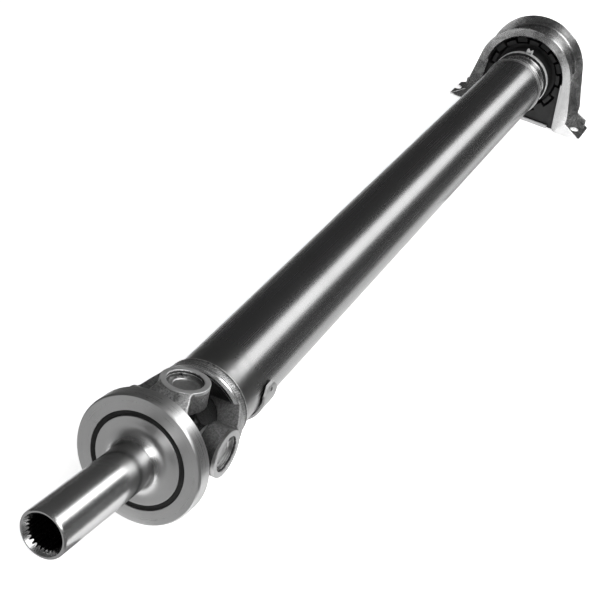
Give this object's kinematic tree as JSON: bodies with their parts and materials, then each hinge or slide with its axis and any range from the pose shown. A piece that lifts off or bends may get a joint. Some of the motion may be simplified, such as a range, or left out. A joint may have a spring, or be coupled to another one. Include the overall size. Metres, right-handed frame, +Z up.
{
  "type": "universal joint shaft",
  "caption": "Propeller shaft section with a splined slip yoke, ring damper, cross-and-cup universal joint, welded tube and rubber-mounted centre bearing.",
  "frame": {"origin": "on the mounting plane of the bracket feet, under the shaft axis and midway along the bracket, which is the middle of the base strap's lower face", "axes": "+X forward along the tube from the centre bearing to the slip yoke, +Y to the right towards the foot with the bolt hole, +Z up, away from the mounting plane"},
  "size_m": [1.13, 0.1824, 0.124],
  "materials": {
    "stamped_steel": "zinc-grey stamped sheet",
    "moulded_rubber": "black moulded rubber",
    "bearing_steel": "ground bearing steel",
    "tube_finish": "dark satin tube",
    "forged_steel": "forged steel with machined rings",
    "machined_steel": "turned and polished steel",
    "weld_metal": "weld metal",
    "plated_steel": "bright plated steel",
    "cage_brass": "brass bearing cage",
    "nylon": "nylon thrust washer"
  },
  "bodies": {
    "carrier": {"carrier_bracket": "stamped_steel", "rubber_cushion": "moulded_rubber", "base_strap": "stamped_steel", "bearing_shell": "stamped_steel", "bearing_outer_race": "bearing_steel", "front_seal": "moulded_rubber", "rear_seal": "moulded_rubber", "snout_clamp": "plated_steel"},
    "cage": {"bearing_cage": "cage_brass", "bearing_balls": "bearing_steel"},
    "propeller_shaft": {"main_tube": "tube_finish", "stub_shaft": "machined_steel", "bearing_inner_race": "bearing_steel", "front_slinger": "stamped_steel", "rear_slinger": "stamped_steel", "stub_circlip": "plated_steel", "rear_weld": "weld_metal", "front_weld": "weld_metal", "balance_weight": "stamped_steel", "tube_yoke": "forged_steel", "side_cups": "bearing_steel", "side_circlips": "plated_steel", "side_needles": "bearing_steel"},
    "cross": {"joint_spider": "forged_steel", "thrust_washers": "nylon", "trunnion_seals": "moulded_rubber", "grease_fitting": "plated_steel"},
    "slip_yoke": {"slip_yoke": "machined_steel", "bore_plug": "plated_steel", "damper_rubber": "moulded_rubber", "inertia_ring": "machined_steel", "end_cups": "bearing_steel", "end_circlips": "plated_steel", "end_needles": "bearing_steel"}
  },
  "joints": [
    {"name": "shaft_spin", "type": "hinge", "parent": "carrier", "child": "propeller_shaft", "pos_m": [0, 0, 0.0604], "axis": [1, 0, 0], "continuous": true},
    {"name": "cage_spin", "type": "hinge", "parent": "carrier", "child": "cage", "pos_m": [0, 0, 0.0604], "axis": [1, 0, 0], "continuous": true},
    {"name": "cross_swing", "type": "hinge", "parent": "propeller_shaft", "child": "cross", "pos_m": [0.87, 0, 0.0604], "axis": [0, 0.9993, 0.0366], "range_deg": [-7.6, 28.4]},
    {"name": "yoke_swing", "type": "hinge", "parent": "cross", "child": "slip_yoke", "pos_m": [0.87, 0, 0.0604], "axis": [-0.1805, -0.036, 0.9829], "range_deg": [-18, 18]}
  ],
  "couplings": [
    {"joint": "cage_spin", "follows": "shaft_spin", "ratio": 0.4175}
  ]
}
